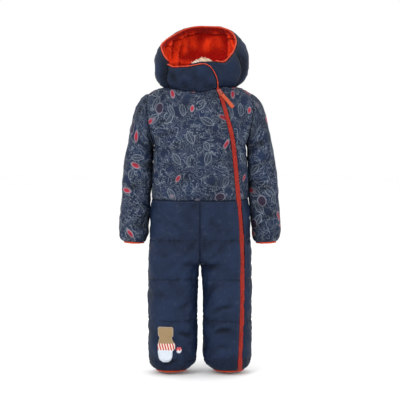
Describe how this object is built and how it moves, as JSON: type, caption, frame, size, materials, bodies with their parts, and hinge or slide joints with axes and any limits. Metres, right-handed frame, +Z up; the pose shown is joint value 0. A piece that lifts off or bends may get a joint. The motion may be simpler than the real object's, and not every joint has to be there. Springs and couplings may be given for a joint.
{
  "type": "padded baby snowsuit",
  "caption": "Padded one-piece baby snowsuit with hood, printed top, plain quilted trousers, red front zip with an orange pull tab, and orange bound edges.",
  "frame": {"origin": "middle of the neck, where a wearer's shoulders hold the suit up", "axes": "+Z up, the front faces -Y, the wearer's left is +X"},
  "size_m": [0.3814, 0.223, 0.819],
  "materials": {
    "shell_plain": "plain navy woven shell, matt with a faint sheen",
    "shell_print": "navy woven shell with a pale line print",
    "binding": "orange-red elastic binding",
    "plush_red": "deep red plush",
    "plush_cream": "cream plush",
    "zip_tape": "red zip tape with coil teeth",
    "slider": "red enamel",
    "puller": "orange moulded pull",
    "badge": "felt and satin-stitched badge",
    "badge_red": "red felt"
  },
  "bodies": {
    "garment": {"leg_front_right": "shell_plain", "leg_back_right": "shell_plain", "leg_back_left": "shell_plain", "leg_front_left": "shell_plain", "leg_front_left_side": "shell_plain", "hood_side_left": "shell_plain", "hood_centre": "shell_plain", "hood_side_right": "shell_plain", "chin_flap_under": "shell_plain", "chin_flap_over": "shell_plain", "top_front_right": "shell_print", "top_front_left": "shell_print", "top_back": "shell_print", "sleeve_left": "shell_print", "sleeve_right": "shell_print", "cuff_binding_left": "binding", "cuff_binding_right": "binding", "hem_binding_left": "binding", "hem_binding_right": "binding", "rim_binding": "binding", "flap_binding": "binding", "lining_side_left": "plush_red", "lining_centre": "plush_red", "lining_side_right": "plush_red", "neck_lining": "plush_cream", "zip_strip": "zip_tape", "zip_slider": "slider", "shin_badge": "badge", "shin_spot": "badge_red"},
    "pull_tab_body": {"pull_tab": "puller"}
  },
  "joints": [
    {"name": "pull_tab_hinge", "type": "hinge", "parent": "garment", "child": "pull_tab_body", "pos_m": [0.04701, -0.06964, -0.00669], "axis": [-0.6654, -0.4559, -0.591], "range_deg": [0, 120]}
  ]
}
